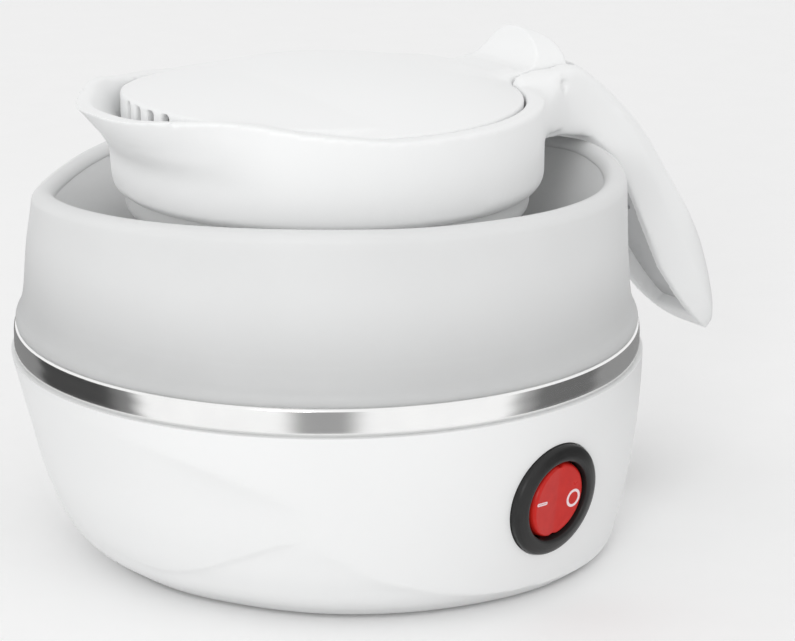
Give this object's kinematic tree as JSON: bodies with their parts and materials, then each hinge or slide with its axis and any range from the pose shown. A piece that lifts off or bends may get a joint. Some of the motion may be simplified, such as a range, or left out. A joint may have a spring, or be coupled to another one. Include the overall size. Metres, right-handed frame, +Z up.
{
  "type": "collapsible kettle",
  "caption": "Folding travel kettle with a soft sleeve, hinged lid over the spout, drooping handle and a rocker switch in its base.",
  "frame": {"origin": "on the kettle's axis, in the plane that it stands on, which is the underside of the foot ring", "axes": "+Z up, spout towards -X, handle towards +X"},
  "size_m": [0.1893, 0.1481, 0.1151],
  "materials": {
    "base_plastic": "white moulded polypropylene, satin gloss",
    "head_plastic": "white moulded polypropylene, satin gloss",
    "inner_plastic": "white moulded polypropylene, fine matt",
    "liner_plastic": "pale grey moulded polypropylene, fine matt",
    "silicone": "translucent grey-white food silicone, soft satin",
    "seal_silicone": "translucent white silicone",
    "foot_rubber": "grey rubber, matt",
    "band_steel": "polished stainless steel with fine turning lines",
    "pan_steel": "drawn stainless steel",
    "cast_plate": "bare die-cast aluminium",
    "screw_steel": "zinc-plated steel",
    "contact_brass": "tinned brass",
    "black_plastic": "black moulded nylon, glossy",
    "rocker_red": "translucent red polycarbonate, glossy",
    "lamp_glass": "clear lamp glass"
  },
  "bodies": {
    "base": {"base_housing": "base_plastic", "bottom_cover": "base_plastic", "foot_ring": "foot_rubber", "bottom_screws": "screw_steel", "heating_pan": "pan_steel", "trim_band": "band_steel", "foot_hoop": "pan_steel", "silicone_body": "silicone", "element_plate": "cast_plate", "heating_element": "pan_steel", "cold_pins": "screw_steel", "thermostat": "black_plastic", "thermal_fuse": "screw_steel", "power_inlet": "black_plastic", "inlet_blades": "contact_brass", "switch_bezel": "black_plastic", "switch_body": "black_plastic", "switch_tabs": "contact_brass", "switch_lamp": "lamp_glass"},
    "head": {"head_moulding": "head_plastic", "neck_clamp": "inner_plastic", "handle_liner": "liner_plastic", "handle_screws": "screw_steel", "hinge_pin": "screw_steel"},
    "lid": {"lid_top": "head_plastic", "lid_plate": "inner_plastic", "lid_seal": "seal_silicone", "lid_screws": "screw_steel"},
    "rocker": {"rocker": "rocker_red"}
  },
  "joints": [
    {"name": "head_lift", "type": "slide", "parent": "base", "child": "head", "axis": [0, 0, 1], "range_m": [0, 0.066], "deforming": ["silicone_body"]},
    {"name": "lid_hinge", "type": "hinge", "parent": "head", "child": "lid", "pos_m": [0.055, 0, 0.1049], "axis": [0, 1, 0], "range_deg": [0, 88]},
    {"name": "rocker_tilt", "type": "hinge", "parent": "base", "child": "rocker", "pos_m": [0.01297, -0.06802, 0.02536], "axis": [-0.0238, 0.1248, -0.9919], "range_deg": [0, 15]}
  ]
}
